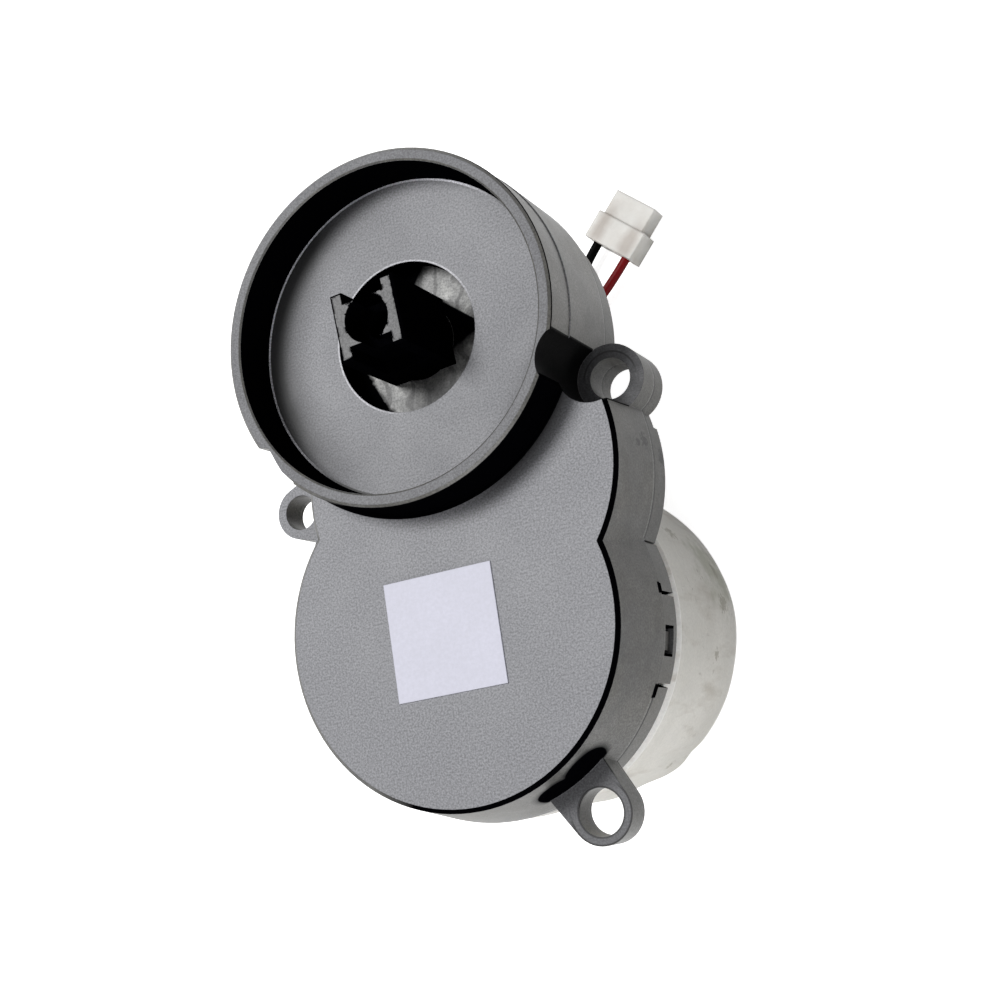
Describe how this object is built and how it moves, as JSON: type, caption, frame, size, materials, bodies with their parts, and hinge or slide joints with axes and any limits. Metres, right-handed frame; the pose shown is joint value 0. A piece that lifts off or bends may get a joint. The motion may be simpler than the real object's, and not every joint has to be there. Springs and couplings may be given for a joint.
{
  "type": "robot vacuum side brush motor",
  "caption": "Geared motor for a robot vacuum's side brush: a flat gearbox with a brush cup and drive post, a round booted motor behind, and two short leads to a plug.",
  "frame": {"origin": "on the brush axis, level with the front face of the gearbox, which is the floor of the brush cup", "axes": "+Z out of the cup along the brush axis, +Y from the motor towards the cup, +X towards the side of the right screw ear"},
  "size_m": [0.0394, 0.0685, 0.0402],
  "materials": {
    "housing_plastic": "fine matte grain",
    "cover_plastic": "fine matte grain",
    "label": "smooth blank sticker",
    "output_plastic": "satin, greased",
    "gear_nylon": "satin, greased",
    "steel": "ground",
    "can_steel": "zinc plated",
    "brass": "turned",
    "copper": "enamelled wire",
    "magnet": "dark ferrite",
    "washer": "smooth",
    "cap_plastic": "smooth",
    "carbon": "carbon",
    "boot_rubber": "soft white, scuffed",
    "lead_black": "smooth",
    "lead_red": "smooth",
    "plug_plastic": "smooth moulded",
    "contact": "tinned"
  },
  "bodies": {
    "casing": {"front_housing": "housing_plastic", "rear_cover": "cover_plastic", "blank_label": "label", "output_axle": "steel", "output_washer": "washer", "idler_axle": "steel", "idler_front_washer": "washer", "idler_back_washer": "washer", "motor_can": "can_steel", "magnet_upper": "magnet", "magnet_lower": "magnet", "front_bush": "brass", "back_bush": "brass", "motor_end_cap": "cap_plastic", "terminal_black": "contact", "terminal_red": "contact", "carbon_brush_black": "carbon", "carbon_brush_red": "carbon", "motor_screw_left": "steel", "motor_screw_right": "steel", "motor_boot": "boot_rubber", "black_lead": "lead_black", "red_lead": "lead_red", "plug_housing": "plug_plastic", "plug_contact_black": "contact", "plug_contact_red": "contact"},
    "output": {"output_gear": "output_plastic"},
    "idler": {"idler_gear": "gear_nylon"},
    "rotor": {"motor_pinion": "brass", "motor_shaft": "steel", "rotor_core": "steel", "rotor_windings": "copper", "rotor_spacer": "washer", "commutator": "copper", "commutator_washer": "washer"}
  },
  "joints": [
    {"name": "output_spin", "type": "hinge", "parent": "casing", "child": "output", "pos_m": [0, 0, 0], "axis": [0, 0, 1], "continuous": true},
    {"name": "idler_spin", "type": "hinge", "parent": "casing", "child": "idler", "pos_m": [0.00299, -0.01378, 0], "axis": [0, 0, 1], "continuous": true},
    {"name": "rotor_spin", "type": "hinge", "parent": "casing", "child": "rotor", "pos_m": [0, -0.0272, 0], "axis": [0, 0, 1], "continuous": true}
  ],
  "couplings": [
    {"joint": "idler_spin", "follows": "rotor_spin", "ratio": -0.22222},
    {"joint": "output_spin", "follows": "rotor_spin", "ratio": 0.06006}
  ]
}
